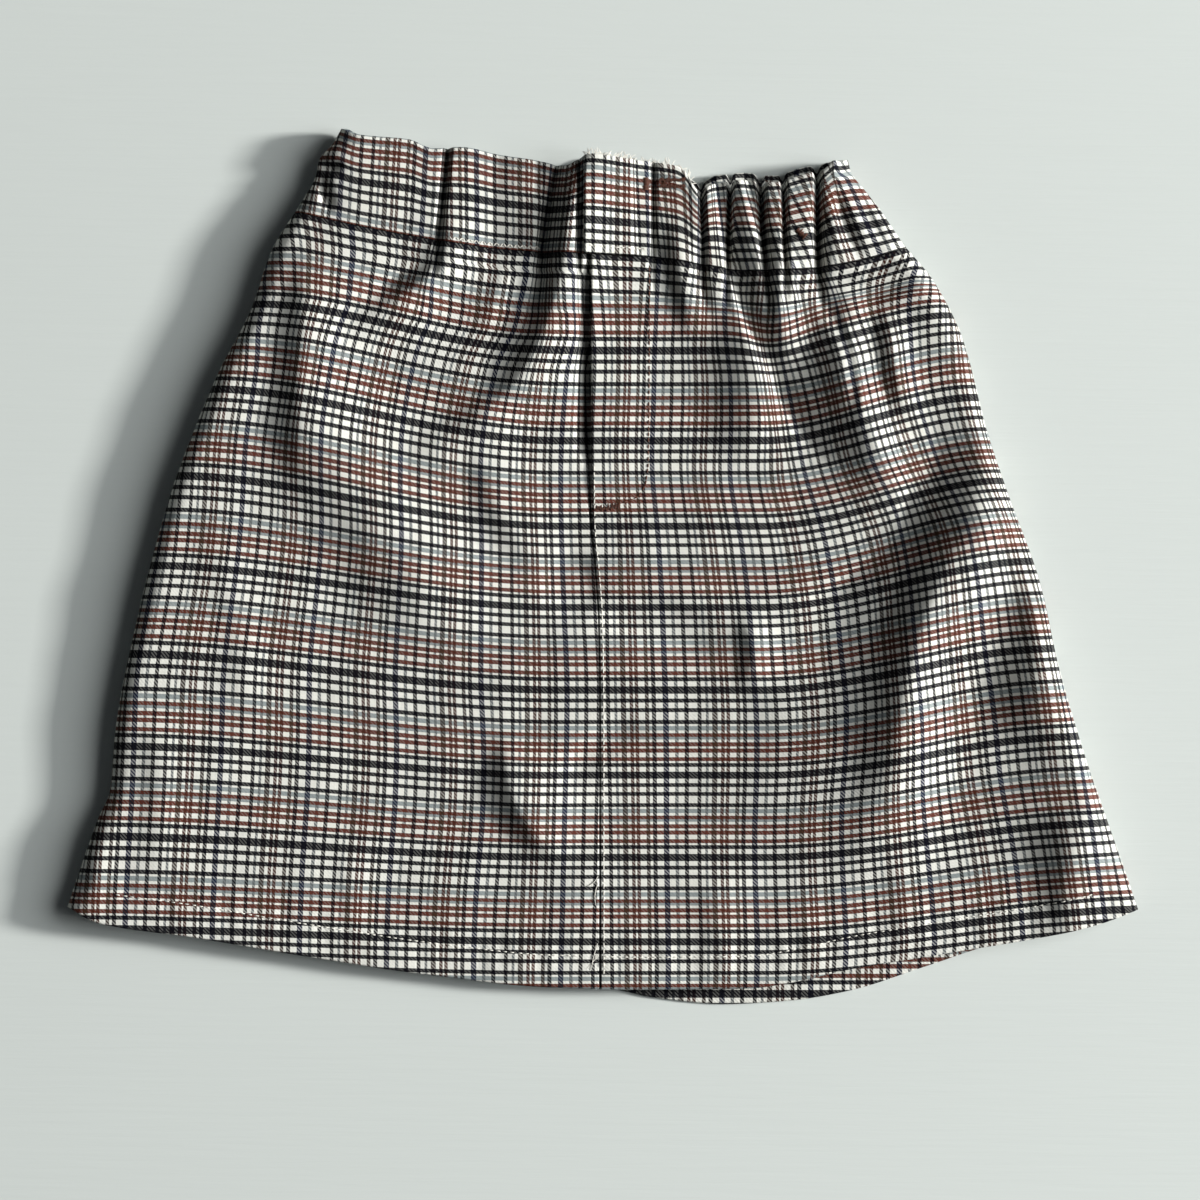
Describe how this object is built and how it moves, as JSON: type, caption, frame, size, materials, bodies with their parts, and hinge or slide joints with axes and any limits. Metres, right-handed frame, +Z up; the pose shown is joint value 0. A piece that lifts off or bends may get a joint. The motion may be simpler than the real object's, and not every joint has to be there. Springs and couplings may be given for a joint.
{
  "type": "plaid skirt",
  "caption": "Short A-line plaid skirt with a gathered waistband and a mock fly, laid flat on its back.",
  "frame": {"origin": "on the surface that the skirt lies on, at the centre of its box seen from above", "axes": "+Z up off the surface, +Y towards the waist, +X to the right of someone who looks down on the front with the waist away from them"},
  "size_m": [0.4759, 0.3889, 0.0276],
  "materials": {
    "plaid_twill": "brushed cotton-look twill, cream with black, navy, grey-blue, taupe and rust stripes both ways, matt",
    "sewing_thread": "matt polyester sewing thread, off-white for the topstitching",
    "brown_thread": "matt rust-brown thread of the fly stitching, bar tack and buttonhole"
  },
  "bodies": {
    "root": {"skirt_front_left": "plaid_twill", "skirt_front_right": "plaid_twill", "skirt_back": "plaid_twill", "waistband_front_left": "plaid_twill", "waistband_front_right": "plaid_twill", "waistband_back": "plaid_twill"}
  },
  "joints": []
}
